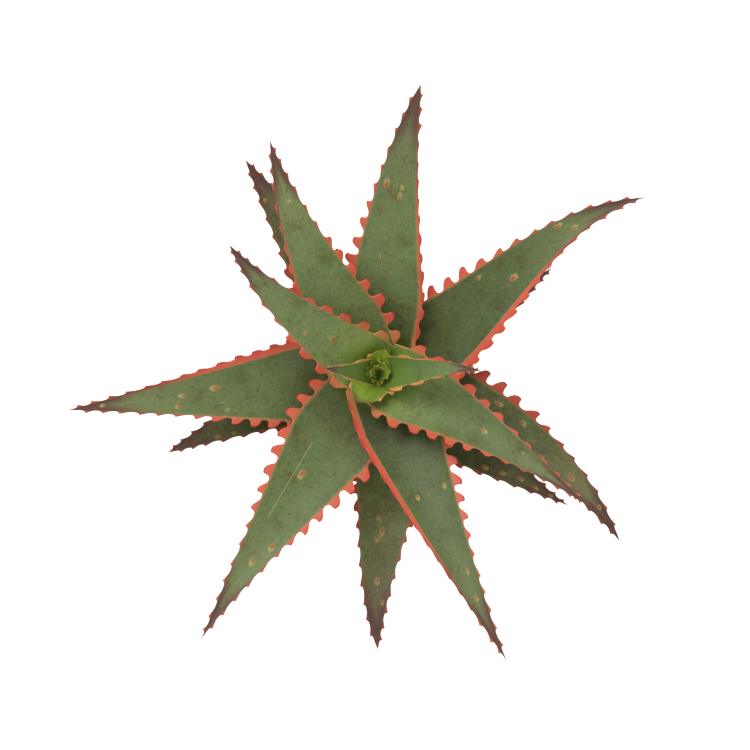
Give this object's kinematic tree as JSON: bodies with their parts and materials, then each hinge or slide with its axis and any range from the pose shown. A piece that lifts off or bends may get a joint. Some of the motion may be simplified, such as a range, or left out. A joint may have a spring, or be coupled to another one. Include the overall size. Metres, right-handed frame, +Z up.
{
  "type": "potted aloe plant",
  "caption": "Rosette of toothed, channelled, fleshy leaves on a short crown stem, rooted in potting mix in a plain round nursery pot.",
  "frame": {"origin": "middle of the pot's flat underside", "axes": "+Z up through the rosette; +Y towards the side the crown leans to (the top of the plan view); +X to the right"},
  "size_m": [0.231, 0.2274, 0.158],
  "materials": {
    "leaf_flesh": "fleshy grey-green blade with a thin waxy bloom, coral-red teeth and a purple-brown point",
    "low_leaf_flesh": "older, darker olive blade flushed with purple, red-brown teeth",
    "heart_leaf_flesh": "young yellow-green blade, pale cream to peach teeth",
    "stem_bark": "dry fibrous tan stem and roots",
    "potting_mix": "loose dark peat with bark, grit and pale perlite",
    "pot_plastic": "terracotta-coloured moulded plastic with a faint satin sheen"
  },
  "bodies": {
    "root": {"pot": "pot_plastic", "potting_mix": "potting_mix", "crown_stem": "stem_bark", "leaf_01": "leaf_flesh", "leaf_02": "leaf_flesh", "leaf_03": "low_leaf_flesh", "leaf_04": "leaf_flesh", "leaf_05": "low_leaf_flesh", "leaf_06": "leaf_flesh", "leaf_07": "low_leaf_flesh", "leaf_08": "leaf_flesh", "leaf_09": "leaf_flesh", "leaf_10": "low_leaf_flesh", "leaf_11": "leaf_flesh", "leaf_12": "leaf_flesh", "leaf_13": "low_leaf_flesh", "leaf_14": "heart_leaf_flesh", "leaf_15": "heart_leaf_flesh", "leaf_16": "heart_leaf_flesh", "leaf_17": "low_leaf_flesh"}
  },
  "joints": []
}
